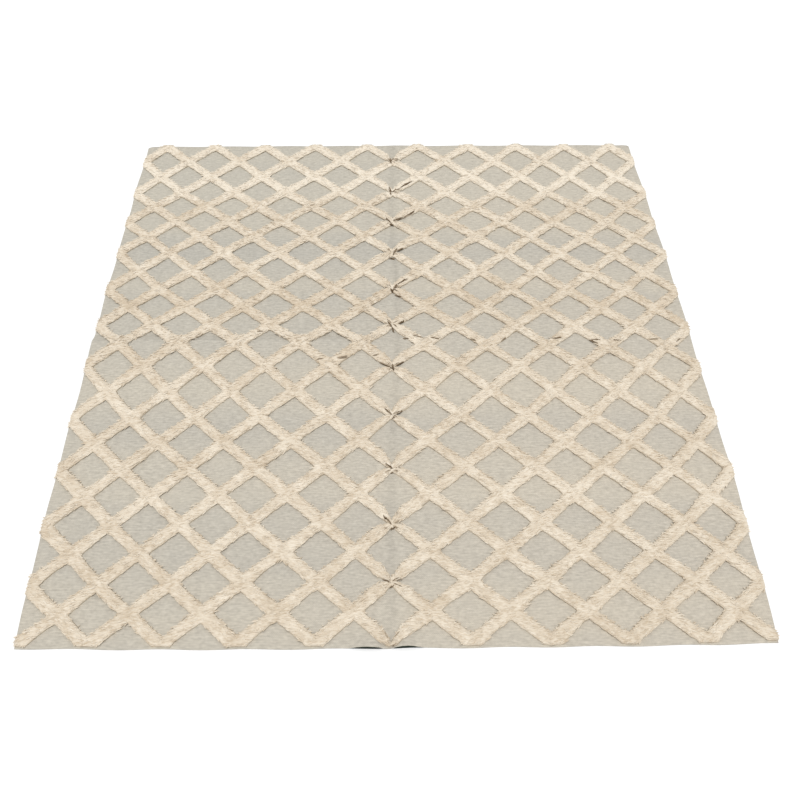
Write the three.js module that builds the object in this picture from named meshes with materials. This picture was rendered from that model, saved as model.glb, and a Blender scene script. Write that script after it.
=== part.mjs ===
// A kilim rug of 1.63 by 1.86 metres, lying flat.
// It is one piece of cloth: a plain flat-woven ground, and bands of cream pile knotted into it
// that cross as a lattice of diamonds, ten across and eleven and a half along.
// The rug was stored folded in quarters, so one crease runs along it and one across.
// Millimetres, +Z up. The near end is at -Y. The origin is under the middle of the rug,
// on the surface that it lies on.

import * as THREE from 'three';

// Driving sizes
const CLOTH = 3; // thickness of the flat-woven ground
const PILE = 8; // height of the pile over the ground
const BAND = 31; // width of a band of pile
const CROWN = 1.2; // a band's middle stands this much over its shoulders
const SWAY = 2.5; // how far a band bows sideways between two crossings
const UNEVEN_WIDTH = 0.1; // share by which bands differ in width
const UNEVEN_PILE = 0.7; // height by which the pile differs from place to place
const STEEP_WALL = 1.5; // run of the wall where the tufts lean out over the ground
const LOOSE_WALL = 5; // run of the wall at the other side, where the tufts lie back
const EDGE_WAVE = 1.2; // how far the woven edges waver
const BLUNT = 17; // half the width of a band's tip where it meets an end of the rug

// Half bands from a crossing to the corner of a diamond beside it. The tufts lean towards the near
// end, so they fill the far corner of each diamond most.
const CORNER_REACH = { near: 1.45, side: 1.5, far: 1.75 };

// How the hand-made unevenness changes from place to place, as steps in radians for each column
// or row, or as the distance in millimetres that makes one radian
const SWAY_STEP = { column: 6.2, row: 4.6 };
const WIDTH_WAVE = { across: 37, along: 23 };
const PILE_WAVE = { across: 53, along: 71, bend: 2 };
const EDGE_WAVES = { left: 41, right: 47, near: 29, far: 31 };

// Places of the crossings across the rug, one for each whole diamond
const COLUMNS = [-808, -658, -498, -338, -169, -5, 166, 333, 493, 658, 804];

// How far a row of crossings has drifted to the right, at the left side and at the right side
const DRIFT = [
  { row: 0, left: 10, right: -3 },
  { row: 1.5, left: 5, right: 6 },
  { row: 3.5, left: -6, right: 14 },
  { row: 5, left: -2, right: 2 },
  { row: 7, left: -7, right: 0 },
  { row: 8.5, left: 6, right: 0 },
  { row: 10, left: -3, right: -16 },
  { row: 11.5, left: -2, right: -4 },
];

// Places of the crossings along the rug, from the near end to the far end, as read at the
// left side, the middle and the right side. The last row is the one that the far end cuts off.
const ROWS = [
  { left: -918, middle: -918, right: -919 },
  { left: -770, middle: -765, right: -774 },
  { left: -612, middle: -606, right: -620 },
  { left: -450, middle: -441, right: -457 },
  { left: -287, middle: -276, right: -290 },
  { left: -101, middle: -101, right: -115 },
  { left: 58, middle: 55, right: 36 },
  { left: 204, middle: 205, right: 188 },
  { left: 364, middle: 366, right: 350 },
  { left: 514, middle: 517, right: 502 },
  { left: 658, middle: 665, right: 656 },
  { left: 827, middle: 834, right: 832 },
  { left: 983, middle: 988, right: 984 },
];
const LAST_ROW = 11.5; // in rows of crossings, the row that lies at the far end
const LAST_COLUMN = 10;

// The two selvedges, from the near end to the far end
const SIDES = [
  { y: -928, left: -802, right: 800 },
  { y: -700, left: -809, right: 806 },
  { y: -450, left: -812, right: 812 },
  { y: -225, left: -811, right: 810 },
  { y: 0, left: -811, right: 810 },
  { y: 225, left: -810, right: 810 },
  { y: 450, left: -806, right: 807 },
  { y: 700, left: -804, right: 802 },
  { y: 928, left: -800, right: 796 },
];

// The two ends, from the left side to the right side
const ENDS = [
  { x: -805, near: -920, far: 920 },
  { x: -700, near: -922, far: 921 },
  { x: -540, near: -925, far: 922 },
  { x: -310, near: -927, far: 924 },
  { x: 0, near: -928, far: 925 },
  { x: 310, near: -928, far: 926 },
  { x: 540, near: -928, far: 927 },
  { x: 805, near: -925, far: 928 },
];

// The long crease is a ridge along the middle column. It reaches the two ends at these places,
// and half a column to each side of it the cloth is flat again.
const CREASE = { near: -17, far: 7, left: 82, right: 85 };

// The cloth at the ridge stands this high over the floor.
const RIDGE = [
  { y: -928, lift: 3 },
  { y: -500, lift: 2 },
  { y: 0, lift: 1.6 },
  { y: 928, lift: 1.4 },
];
const RIDGE_COLUMN = 5;
const SPLIT = { reach: 25, depth: 3 }; // the tufts part and lie lower over the ridge

// The cross crease is a low ridge in the left half and a pinch in the pile in the right half.
const FOLD_ROW = 5.5;
const FOLD = { y: -22, reach: 72, lift: 1.8 };
const PINCH = { y: -10, reach: 32, depth: 3 };

// Value of one column of a table between its rows, straight from row to row
function read(table, key, at, column) {
  const last = table.length - 1;
  let row = 0;
  while (row < last - 1 && at > table[row + 1][key]) {
    row += 1;
  }
  const from = table[row];
  const to = table[row + 1];
  const share = (at - from[key]) / (to[key] - from[key]);
  return THREE.MathUtils.lerp(from[column], to[column], THREE.MathUtils.clamp(share, 0, 1));
}

function leftSide(y) {
  return read(SIDES, 'y', y, 'left') + EDGE_WAVE * Math.sin(y / EDGE_WAVES.left);
}

function rightSide(y) {
  return read(SIDES, 'y', y, 'right') + EDGE_WAVE * Math.sin(y / EDGE_WAVES.right);
}

function nearEnd(x) {
  return read(ENDS, 'x', x, 'near') + EDGE_WAVE * Math.sin(x / EDGE_WAVES.near);
}

function farEnd(x) {
  return read(ENDS, 'x', x, 'far') + EDGE_WAVE * Math.sin(x / EDGE_WAVES.far);
}

// Where the long crease lies, so far along the rug
function ridgeTop(y) {
  return THREE.MathUtils.mapLinear(y, RIDGE[0].y, RIDGE.at(-1).y, CREASE.near, CREASE.far);
}

// Distance along the rug of a place given in columns and rows
function along(column, row) {
  const index = Math.min(Math.floor(row), ROWS.length - 2);
  const share = row - index;
  const at = {};
  for (const key of ['left', 'middle', 'right']) {
    at[key] = THREE.MathUtils.lerp(ROWS[index][key], ROWS[index + 1][key], share);
  }
  if (column < RIDGE_COLUMN) {
    return THREE.MathUtils.lerp(at.left, at.middle, column / RIDGE_COLUMN);
  }
  return THREE.MathUtils.lerp(at.middle, at.right, (column - RIDGE_COLUMN) / RIDGE_COLUMN);
}

// Distance across the rug of a place given in columns and rows
function across(column, row) {
  const index = Math.min(Math.floor(column), COLUMNS.length - 2);
  const even = THREE.MathUtils.lerp(COLUMNS[index], COLUMNS[index + 1], column - index);
  const outward = Math.abs(column - RIDGE_COLUMN) / RIDGE_COLUMN;
  const atSide = read(DRIFT, 'row', row, column < RIDGE_COLUMN ? 'left' : 'right');
  const atRidge = ridgeTop(along(column, row)) - ridgeTop(0);
  return even + THREE.MathUtils.lerp(atRidge, atSide, outward);
}

// The point where two bands cross. The outer columns lie on the selvedges.
function crossing(column, row) {
  const y = along(column, row);
  if (column === 0) {
    return new THREE.Vector2(leftSide(y), y);
  }
  if (column === LAST_COLUMN) {
    return new THREE.Vector2(rightSide(y), y);
  }
  return new THREE.Vector2(across(column, row), y);
}

// The middle of the band between two crossings, bowed a little to one side
function bandMiddle(a, b) {
  const from = crossing(...a);
  const to = crossing(...b);
  const [column, row] = [(a[0] + b[0]) / 2, (a[1] + b[1]) / 2];
  const sway = SWAY * Math.sin(SWAY_STEP.column * column + SWAY_STEP.row * row);
  const side = new THREE.Vector2(Math.abs(from.y - to.y), Math.abs(from.x - to.x)).normalize();
  return from.add(to).multiplyScalar(0.5).addScaledVector(side, sway);
}

function halfBand(point) {
  const wave = Math.sin(point.x / WIDTH_WAVE.across + point.y / WIDTH_WAVE.along);
  return (BAND / 2) * (1 + UNEVEN_WIDTH * wave);
}

// 1 on a line and 0 from this far off it, straight between
function tent(offset, reach) {
  return Math.max(0, 1 - Math.abs(offset) / reach);
}

// How far the cloth stands off the floor: a tent over the long crease and one over the fold
function lift(x, y) {
  const offset = x - ridgeTop(y);
  const overRidge = tent(offset, offset < 0 ? CREASE.left : CREASE.right);
  const fade = THREE.MathUtils.clamp(-offset / CREASE.left, 0, 1);
  const overFold = tent(y - FOLD.y, FOLD.reach) * fade;
  return read(RIDGE, 'y', y, 'lift') * overRidge + FOLD.lift * overFold;
}

function groundHeight(x, y) {
  return lift(x, y) + CLOTH;
}

// The pile is a little uneven, parts over the ridge and is pinched along the right half of the fold
function pileHeight(x, y) {
  const bend = PILE_WAVE.bend * Math.sin(y / PILE_WAVE.along);
  const uneven = UNEVEN_PILE * Math.sin(x / PILE_WAVE.across + bend);
  const offset = x - ridgeTop(y);
  const split = SPLIT.depth * tent(offset, SPLIT.reach);
  const pinch = offset > 0 ? PINCH.depth * tent(y - PINCH.y, PINCH.reach) : 0;
  return groundHeight(x, y) + PILE + uneven - Math.max(split, pinch);
}

// A closed skin of triangles whose corners are shared
class Skin {
  constructor() {
    this.positions = [];
    this.faces = [];
    this.known = new Map();
  }

  corner(x, y, z) {
    const key = `${x.toFixed(3)} ${y.toFixed(3)} ${z.toFixed(3)}`;
    if (!this.known.has(key)) {
      this.known.set(key, this.positions.length / 3);
      this.positions.push(x, y, z);
    }
    return this.known.get(key);
  }

  place(index) {
    return new THREE.Vector2(this.positions[3 * index], this.positions[3 * index + 1]);
  }

  quad(a, b, c, d) {
    this.faces.push([a, b, c], [a, c, d]);
  }

  // Fills a ring of corners, as seen from above, with triangles that face up or down
  fill(ring, up) {
    const outline = ring.map((index) => this.place(index));
    const facesUp = THREE.ShapeUtils.area(outline) > 0;
    for (const [i, j, k] of THREE.ShapeUtils.triangulateShape(outline, [])) {
      this.faces.push(facesUp === up ? [ring[i], ring[j], ring[k]] : [ring[i], ring[k], ring[j]]);
    }
  }

  // The corners along the open border, in order, counter-clockwise as seen from above
  border() {
    const open = new Map();
    for (const [a, b, c] of this.faces) {
      for (const [from, to] of [[a, b], [b, c], [c, a]]) {
        open.set(`${from} ${to}`, [from, to]);
      }
    }
    const next = new Map();
    for (const [from, to] of open.values()) {
      if (!open.has(`${to} ${from}`)) {
        next.set(from, to);
      }
    }
    const start = next.keys().next().value;
    const ring = [start];
    while (next.get(ring.at(-1)) !== start) {
      ring.push(next.get(ring.at(-1)));
    }
    return ring;
  }

  geometry() {
    const result = new THREE.BufferGeometry();
    result.setAttribute('position', new THREE.Float32BufferAttribute(this.positions, 3));
    result.setIndex(this.faces.flat());
    result.computeVertexNormals();
    return result;
  }
}

// A spoke runs from a band's middle line into a diamond of bare ground. It holds the point on
// the middle line, the band's shoulder and the wall's foot.
function spoke(middle, centre, reach) {
  const inward = centre.clone().sub(middle).normalize();
  const wall = THREE.MathUtils.mapLinear(inward.y, -1, 1, STEEP_WALL, LOOSE_WALL);
  const distance = reach * halfBand(middle);
  return {
    middle,
    shoulder: middle.clone().addScaledVector(inward, distance),
    foot: middle.clone().addScaledVector(inward, distance + wall),
  };
}

// A spoke along an end of the rug, where the tip of two bands is cut off
function endSpoke(column, end, direction) {
  const { x } = crossing(column, end === nearEnd ? 0 : LAST_ROW);
  const places = [x, x + direction * BLUNT, x + direction * (BLUNT + STEEP_WALL)];
  const [middle, shoulder, foot] = places.map((place) => new THREE.Vector2(place, end(place)));
  return { middle, shoulder, foot };
}

// A spoke along a selvedge, from a crossing that lies on it
function sideSpoke(column, row, direction) {
  const side = column === 0 ? leftSide : rightSide;
  const { y } = crossing(column, row);
  const wall = direction > 0 ? LOOSE_WALL : STEEP_WALL;
  const reach = (CORNER_REACH.side * BAND) / 2;
  const places = [y, y + direction * reach, y + direction * (reach + wall)];
  const [middle, shoulder, foot] = places.map((place) => new THREE.Vector2(side(place), place));
  return { middle, shoulder, foot };
}

function centreOf(column, row) {
  return new THREE.Vector2(across(column, row), along(column, row));
}

function cornerSpoke([column, row], heart) {
  const onSelvedge = column === heart[0];
  if (onSelvedge && (column === 0 || column === LAST_COLUMN)) {
    return sideSpoke(column, row, heart[1] > row ? 1 : -1);
  }
  const corner = ['near', 'side', 'far'][Math.sign(row - heart[1]) + 1];
  return spoke(crossing(column, row), centreOf(...heart), CORNER_REACH[corner]);
}

// The spokes at a run of crossings around the heart of a diamond, and at the bands between them
function spokesAlong(corners, heart, closed) {
  const spokes = [];
  for (let i = 0; i < corners.length; i += 1) {
    spokes.push(cornerSpoke(corners[i], heart));
    const next = corners[i + 1] ?? (closed ? corners[0] : null);
    if (next) {
      spokes.push(spoke(bandMiddle(corners[i], next), centreOf(...heart), 1));
    }
  }
  return spokes;
}

// Half of the band around a diamond, its wall, and the bare ground inside.
// An open run of spokes ends at the rug's edge, and rim is the edge's point between them.
function addDiamond(skin, spokes, rim = null) {
  const rings = spokes.map(({ middle, shoulder, foot }) => [
    skin.corner(middle.x, middle.y, pileHeight(middle.x, middle.y) + CROWN),
    skin.corner(shoulder.x, shoulder.y, pileHeight(shoulder.x, shoulder.y)),
    skin.corner(foot.x, foot.y, groundHeight(foot.x, foot.y)),
  ]);
  const count = rim ? rings.length - 1 : rings.length;
  for (let i = 0; i < count; i += 1) {
    const here = rings[i];
    const next = rings[(i + 1) % rings.length];
    skin.quad(here[0], next[0], next[1], here[1]);
    skin.quad(here[1], next[1], next[2], here[2]);
  }
  const edge = rim ? [skin.corner(rim.x, rim.y, groundHeight(rim.x, rim.y))] : [];
  skin.fill([...rings.map((ring) => ring[2]), ...edge], true);
}

function addWholeDiamonds(skin) {
  for (let row = 0.5; row < LAST_ROW; row += 0.5) {
    const first = Number.isInteger(row) ? 0.5 : 1;
    for (let column = first; column < LAST_COLUMN; column += 1) {
      const corners = [[column - 0.5, row], [column, row - 0.5], [column + 0.5, row], [column, row + 0.5]];
      addDiamond(skin, spokesAlong(corners, [column, row], true));
    }
  }
}

// The half diamonds that the near end cuts off
function addNearDiamonds(skin) {
  for (let column = 0.5; column < LAST_COLUMN; column += 1) {
    const corners = [[column + 0.5, 0], [column, 0.5], [column - 0.5, 0]];
    const x = across(column, 0);
    const spokes = [
      endSpoke(column + 0.5, nearEnd, -1),
      ...spokesAlong(corners, [column, 0], false),
      endSpoke(column - 0.5, nearEnd, 1),
    ];
    addDiamond(skin, spokes, new THREE.Vector2(x, nearEnd(x)));
  }
}

function addFarDiamonds(skin) {
  for (let column = 1; column < LAST_COLUMN; column += 1) {
    const corners = [[column - 0.5, LAST_ROW], [column, LAST_ROW - 0.5], [column + 0.5, LAST_ROW]];
    const x = across(column, LAST_ROW);
    const spokes = [
      endSpoke(column - 0.5, farEnd, 1),
      ...spokesAlong(corners, [column, LAST_ROW], false),
      endSpoke(column + 0.5, farEnd, -1),
    ];
    addDiamond(skin, spokes, new THREE.Vector2(x, farEnd(x)));
  }
}

// The half diamonds along the two selvedges
function addSideDiamonds(skin) {
  for (let row = 0.5; row < LAST_ROW - 0.5; row += 1) {
    const left = [[0, row - 0.5], [0.5, row], [0, row + 0.5]];
    const leftY = along(0, row);
    addDiamond(skin, spokesAlong(left, [0, row], false), new THREE.Vector2(leftSide(leftY), leftY));

    const inner = LAST_COLUMN - 0.5;
    const right = [[LAST_COLUMN, row + 0.5], [inner, row], [LAST_COLUMN, row - 0.5]];
    const rightY = along(LAST_COLUMN, row);
    const rightRim = new THREE.Vector2(rightSide(rightY), rightY);
    addDiamond(skin, spokesAlong(right, [LAST_COLUMN, row], false), rightRim);
  }
}

// The two far corners hold a quarter of a diamond each
function addCornerDiamonds(skin) {
  const top = LAST_ROW - 0.5;
  const left = spokesAlong([[0, top], [0.5, LAST_ROW]], [0, LAST_ROW], false);
  const leftX = SIDES.at(-1).left;
  addDiamond(skin, [...left, endSpoke(0.5, farEnd, -1)], new THREE.Vector2(leftX, farEnd(leftX)));

  const inner = LAST_COLUMN - 0.5;
  const right = spokesAlong([[inner, LAST_ROW], [LAST_COLUMN, top]], [LAST_COLUMN, LAST_ROW], false);
  const rightX = SIDES.at(-1).right;
  addDiamond(skin, [endSpoke(inner, farEnd, 1), ...right], new THREE.Vector2(rightX, farEnd(rightX)));
}

// The underside is flat on the floor but for the two ridges, which are open at the rug's edges
function addUnderside(skin) {
  const border = skin.border();
  const below = border.map((index) => {
    const { x, y } = skin.place(index);
    return skin.corner(x, y, lift(x, y));
  });
  for (let i = 0; i < border.length; i += 1) {
    const next = (i + 1) % border.length;
    skin.quad(border[next], border[i], below[i], below[next]);
  }

  const nearest = (point) => {
    const distances = below.map((index) => skin.place(index).distanceTo(point));
    return distances.indexOf(Math.min(...distances));
  };
  const run = (from, to) => {
    const corners = [below[from]];
    for (let i = from; i !== to; ) {
      i = (i + 1) % below.length;
      corners.push(below[i]);
    }
    return corners;
  };
  const inside = (offset, row) => {
    const y = along(RIDGE_COLUMN - 0.5, row);
    const x = ridgeTop(y) + offset;
    return skin.corner(x, y, lift(x, y));
  };

  const lines = [-CREASE.left, 0, CREASE.right];
  const meeting = (creaseX, end) => lines.map((offset) => {
    const x = creaseX + offset;
    return nearest(new THREE.Vector2(x, end(x)));
  });
  const near = meeting(CREASE.near, nearEnd);
  const far = meeting(CREASE.far, farEnd);
  const foldRows = [FOLD_ROW - 0.5, FOLD_ROW, FOLD_ROW + 0.5];
  const left = foldRows.map((row) => nearest(crossing(0, row)));
  const grid = lines.map((offset) => foldRows.map((row) => inside(offset, row)));

  skin.fill([...run(left[0], near[0]), grid[0][0]], false);
  skin.fill([...run(left[1], left[0]), grid[0][0], grid[0][1]], false);
  skin.fill([...run(left[2], left[1]), grid[0][1], grid[0][2]], false);
  skin.fill([...run(far[0], left[2]), grid[0][2]], false);
  for (const i of [0, 1]) {
    skin.fill([...run(near[i], near[i + 1]), grid[i + 1][0], grid[i][0]], false);
    skin.fill([...run(far[i + 1], far[i]), grid[i][2], grid[i + 1][2]], false);
    for (const j of [0, 1]) {
      skin.fill([grid[i][j], grid[i + 1][j], grid[i + 1][j + 1], grid[i][j + 1]], false);
    }
  }
  skin.fill([...run(near[2], far[2]), ...grid[2].toReversed()], false);
}

function makeRug() {
  const skin = new Skin();
  addWholeDiamonds(skin);
  addNearDiamonds(skin);
  addFarDiamonds(skin);
  addSideDiamonds(skin);
  addCornerDiamonds(skin);
  addUnderside(skin);
  const wool = new THREE.MeshStandardMaterial({ color: 0xcdc5b6, roughness: 0.95, metalness: 0 });
  const rug = new THREE.Mesh(skin.geometry(), wool);
  rug.name = 'rug';
  return rug;
}

const kilim = new THREE.Group();
kilim.add(makeRug());

export default kilim;
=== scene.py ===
# %% [markdown]
# # A kilim rug with a raised lattice
# The real rug is one piece of cloth. Its ground is a plain flat weave in greige wool, and bands of
# cream pile are knotted into the same warps, so that they cross as a lattice of diamonds. It was
# stored folded in quarters, so one soft crease runs along it and one across.
#
# The packed model is a solid of the right size with flat faces. This lesson builds the cloth and
# the pile around it. It could be done with a displaced plane and a picture of a rug, but then the
# pile would have no depth from the side. So the cloth is a thin modelled sheet, and the pile is
# some fifty thousand separate locks of yarn.

# %% Load the frame
import math
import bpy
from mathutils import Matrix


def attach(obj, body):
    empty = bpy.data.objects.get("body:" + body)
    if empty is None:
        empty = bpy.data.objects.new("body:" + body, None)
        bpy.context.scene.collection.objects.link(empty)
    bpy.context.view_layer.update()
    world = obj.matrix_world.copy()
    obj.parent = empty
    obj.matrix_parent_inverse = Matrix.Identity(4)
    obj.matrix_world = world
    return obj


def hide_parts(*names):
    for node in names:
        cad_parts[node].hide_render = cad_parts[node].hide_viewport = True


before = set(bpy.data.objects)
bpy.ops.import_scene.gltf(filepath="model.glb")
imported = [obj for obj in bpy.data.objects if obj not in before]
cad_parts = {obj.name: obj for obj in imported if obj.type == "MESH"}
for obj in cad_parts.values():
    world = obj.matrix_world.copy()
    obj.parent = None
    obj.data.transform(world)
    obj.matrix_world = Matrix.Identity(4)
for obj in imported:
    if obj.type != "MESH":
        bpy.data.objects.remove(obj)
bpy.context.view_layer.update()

from types import SimpleNamespace

import bmesh
import bpy
import numpy as np

MM = 0.001

# %% [markdown]
# ## The lattice
# A weaver counts warps and wefts. Here the count is in columns and rows of diamonds, and short
# tables say where each column and row lies, because a hand-woven lattice is never quite even.
# Two bands cross wherever a whole column meets a whole row, and again halfway between.
# The solid was made from the same tables, but for the last row, which lies beyond the rug, so the
# cloth and the pile fit it.

# %% Places of the columns and rows
COLUMNS = MM * np.array([-808, -658, -498, -338, -169, -5, 166, 333, 493, 658, 804])
DRIFT = np.array([
    # row, and how far it has drifted to the right in millimetres at the left and the right side
    (0, 10, -3),
    (1.5, 5, 6),
    (3.5, -6, 14),
    (5, -2, 2),
    (7, -7, 0),
    (8.5, 6, 0),
    (10, -3, -16),
    (11.5, -2, -4),
])
ROWS = MM * np.array([
    # left, middle and right of the rug
    (-918, -918, -919),
    (-770, -765, -774),
    (-612, -606, -620),
    (-450, -441, -457),
    (-287, -276, -290),
    (-101, -101, -115),
    (58, 55, 36),
    (204, 205, 188),
    (364, 366, 350),
    (514, 517, 502),
    (658, 665, 656),
    (827, 834, 832),
    (999, 1004, 1000),
])
LAST_COLUMN = 10
LAST_ROW = 11.5
MIDDLE_COLUMN = 5
END = 928 * MM
CREASE_NEAR = -17 * MM
CREASE_FAR = 7 * MM


def crease_x(y):
    """Where the long crease lies, so far along the rug."""
    return CREASE_NEAR + (CREASE_FAR - CREASE_NEAR) * (y + END) / (2 * END)


def along(column, row):
    """Distance along the rug of places given in columns and rows."""
    index = np.clip(np.floor(row).astype(int), 0, len(ROWS) - 2)
    share = (row - index)[..., None]
    left, middle, right = np.moveaxis(ROWS[index] * (1 - share) + ROWS[index + 1] * share, -1, 0)
    in_left = left + (middle - left) * column / MIDDLE_COLUMN
    in_right = middle + (right - middle) * (column - MIDDLE_COLUMN) / MIDDLE_COLUMN
    return np.where(column < MIDDLE_COLUMN, in_left, in_right)


def across(column, row):
    """Distance across the rug of places given in columns and rows."""
    even = np.interp(column, np.arange(LAST_COLUMN + 1), COLUMNS)
    outward = np.abs(column - MIDDLE_COLUMN) / MIDDLE_COLUMN
    drift = [np.interp(row, DRIFT[:, 0], DRIFT[:, side]) * MM for side in (1, 2)]
    at_side = np.where(column < MIDDLE_COLUMN, *drift)
    at_crease = crease_x(along(column, row)) - crease_x(0)
    return even + at_crease * (1 - outward) + at_side * outward


print("the lattice is", LAST_COLUMN, "diamonds across and", LAST_ROW, "along")

# %% [markdown]
# ## The outline
# The selvedges bow out by a few millimetres, and the two ends are nearly straight. All four waver
# slightly, as woven edges do.

# %% The four edges
SIDES = MM * np.array([
    # distance along the rug, left selvedge, right selvedge
    (-928, -802, 800),
    (-700, -809, 806),
    (-450, -812, 812),
    (-225, -811, 810),
    (0, -811, 810),
    (225, -810, 810),
    (450, -806, 807),
    (700, -804, 802),
    (928, -800, 796),
])
ENDS = MM * np.array([
    # distance across the rug, near end, far end
    (-805, -920, 920),
    (-700, -922, 921),
    (-540, -925, 922),
    (-310, -927, 924),
    (0, -928, 925),
    (310, -928, 926),
    (540, -928, 927),
    (805, -925, 928),
])
EDGE_WAVE = 1.2 * MM
EDGE_WAVES = {"left": 41 * MM, "right": 47 * MM, "near": 29 * MM, "far": 31 * MM}


def edge(name, at):
    """Place of one of the four edges, for distances along or across the rug."""
    table = SIDES if name in ("left", "right") else ENDS
    column = 1 if name in ("left", "near") else 2
    return np.interp(at, table[:, 0], table[:, column]) + EDGE_WAVE * np.sin(at / EDGE_WAVES[name])


print("the rug is", round(float(edge("right", 0) - edge("left", 0)), 3), "m wide at the middle")

# %% [markdown]
# ## How the cloth lies
# The cloth is 3 mm thick and lies flat, but for its creases and its near end. The long crease is a
# low ridge that gets higher towards the near end. The cross one is a fold in the left half only:
# it rises slowly from the near side to 8 mm and falls off steeply behind. At the near end the
# cloth stands off the floor in two short arches, with a touch of floor between them. A cloth
# simulation could make folds too, but not these ones in these places, so they are simple sums.
# One function gives the height of the cloth's underside, and everything else stands on it.

# %% Heights
CLOTH = 3 * MM
PILE = 8 * MM
RIDGE = MM * np.array([(-928, 3), (-500, 2), (0, 1.6), (928, 1.4)])
RIDGE_FEET = {"left": 82 * MM, "right": 85 * MM}
FOLD_Y = -10 * MM
FOLD_REACH = {"near": 88 * MM, "far": 26 * MM}
FOLD_LIFT = 8 * MM
ARCHES = MM * np.array([
    # middle, half width and height: two arches, and between them the cloth touches the floor
    (-66, 38, 10.0),
    (17, 30, 10.2),
    (-26, 14, -3.0),
])
ARCH_DEPTH = 45 * MM


def tent(offset, reach):
    """1 on a line and 0 from this far off it, straight between."""
    return np.maximum(0, 1 - np.abs(offset) / reach)


def arch(x):
    """How much higher the cloth lies at the very near end."""
    return sum(tall * np.clip(1 - ((x - middle) / reach) ** 2, 0, 1) for middle, reach, tall in ARCHES)


def lift(x, y):
    """Height of the cloth's underside over the floor."""
    offset = x - crease_x(y)
    foot = np.where(offset < 0, RIDGE_FEET["left"], RIDGE_FEET["right"])
    fade = np.clip(-offset / RIDGE_FEET["left"], 0, 1)
    over_ridge = np.interp(y, RIDGE[:, 0], RIDGE[:, 1]) * tent(offset, foot)
    fold_reach = np.where(y < FOLD_Y, FOLD_REACH["near"], FOLD_REACH["far"])
    over_fold = FOLD_LIFT * tent(y - FOLD_Y, fold_reach) * fade
    return over_ridge + over_fold + arch(x) * tent(y + END, ARCH_DEPTH)


for title, x, y in (("long crease", crease_x(-0.8), -0.8), ("fold", -0.5, FOLD_Y), ("arch", -0.066, -END)):
    print("the", title, "stands", round(float(lift(x, y)) / MM, 1), "mm over the floor")

# %% [markdown]
# ## One class for node maths
# Materials and Geometry Nodes trees are full of small sums. Dragging a link for each would hide
# the idea, so a small class wraps a node's output, and Python's own operators add Math nodes.
# Every other kind of node comes from the method node().

# %% The class
class Wire:
    """An output socket in a node tree. With no socket it only adds nodes to its tree."""

    def __init__(self, tree, socket=None):
        self.tree = tree
        self.socket = socket

    def node(self, kind, settings=None, inputs=None, output=0):
        made = self.tree.nodes.new(kind)
        for name, value in (settings or {}).items():
            if name == "stops":
                self.set_stops(made.color_ramp, value)
            else:
                setattr(made, name, value)
        for key, value in (inputs or {}).items():
            if isinstance(value, Wire):
                self.tree.links.new(value.socket, made.inputs[key])
            else:
                made.inputs[key].default_value = value
        return Wire(self.tree, made.outputs[output] if made.outputs else None)

    @staticmethod
    def set_stops(ramp, stops):
        while len(ramp.elements) < len(stops):
            ramp.elements.new(1)
        for element, (place, tone) in zip(ramp.elements, stops):
            element.position = place
            element.color = (tone, tone, tone, 1)

    def math(self, operation, *values):
        return self.node("ShaderNodeMath", {"operation": operation}, dict(enumerate(values)))

    def __add__(self, other):
        return self.math("ADD", self, other)

    def __sub__(self, other):
        return self.math("SUBTRACT", self, other)

    def __rsub__(self, other):
        return self.math("SUBTRACT", other, self)

    def __mul__(self, other):
        return self.math("MULTIPLY", self, other)

    def __truediv__(self, other):
        return self.math("DIVIDE", self, other)

    __radd__ = __add__
    __rmul__ = __mul__

    def sine(self):
        return self.math("SINE", self)

    def size(self):
        return self.math("ABSOLUTE", self)

    def between(self, low, high):
        """0 at low, 1 at high and clamped outside, with a soft start and end."""
        settings = {"interpolation_type": "SMOOTHSTEP"}
        return self.node("ShaderNodeMapRange", settings, {"Value": self, "From Min": low, "From Max": high})

    def scaled(self, factor):
        """This colour times a number."""
        return self.node("ShaderNodeVectorMath", {"operation": "SCALE"}, {0: self, "Scale": factor})

    def mix(self, low, high):
        """The colour low where this is 0, and high where it is 1."""
        return self.node("ShaderNodeMix", {"data_type": "RGBA"}, {0: self, 6: low, 7: high}, output=2)


print("besides operators:", ", ".join(name for name in vars(Wire) if not name.startswith("__")))

# %% [markdown]
# ## The ground's finish
# The greige wool was dyed in small lots, so the ground changes tone in bands across the rug where
# a new lot began. Weavers call this abrash. A ramp along the rug gives those bands.
# Over them lie thick and thin wefts, which show as faint streaks, and the grid of the plain weave.
# A picture would also do it, but noise stretched along the wefts never repeats. The creases get
# painted shade, a little darker along them, and the left half gets painted shade too, a little
# darker than the right. The far hem is darker along its last few millimetres, and the wool is a
# shade warmer to the right and to the near end. Two attributes mark what the shape knows: "hem" is
# the far hem, and a second one marks the inside of the near end's arches, painted nearly black as
# the shadow under them.

# %% Greige weave
ABRASH = [
    # distance along the rug in millimetres, tone from 0 for dark to 1 for light
    (-930, 0.60), (-860, 0.76), (-780, 0.66), (-735, 0.50), (-570, 0.51), (-545, 0.68), (-520, 0.77),
    (-420, 0.70), (-345, 0.47), (-307, 0.40), (-235, 0.70), (-182, 0.81), (-107, 0.72), (-57, 0.55),
    (-7, 0.43), (117, 0.50), (167, 0.39), (217, 0.70), (292, 0.42), (367, 0.21), (417, 0.30),
    (442, 0.46), (467, 0.62), (520, 0.66), (667, 0.66), (792, 0.52), (842, 0.65), (930, 0.52),
]
GROUND_DARK = (0.435, 0.415, 0.365, 1)
GROUND_LIGHT = (0.535, 0.492, 0.405, 1)
WARMER = (1.018, 0.996, 0.99, 1)
# painted shadow: the nearly black inside of the near end's arches
PAINTED_ARCH_SHADOW = (0.002, 0.012, 0.003, 1)
WARP_PITCH = 4.2 * MM
WEFT_PITCH = 5.6 * MM
LOT_EDGE = 4 * MM
# painted shade: how much darker the left half is painted than the right
PAINTED_HALF_SHADE = 0.14
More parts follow.
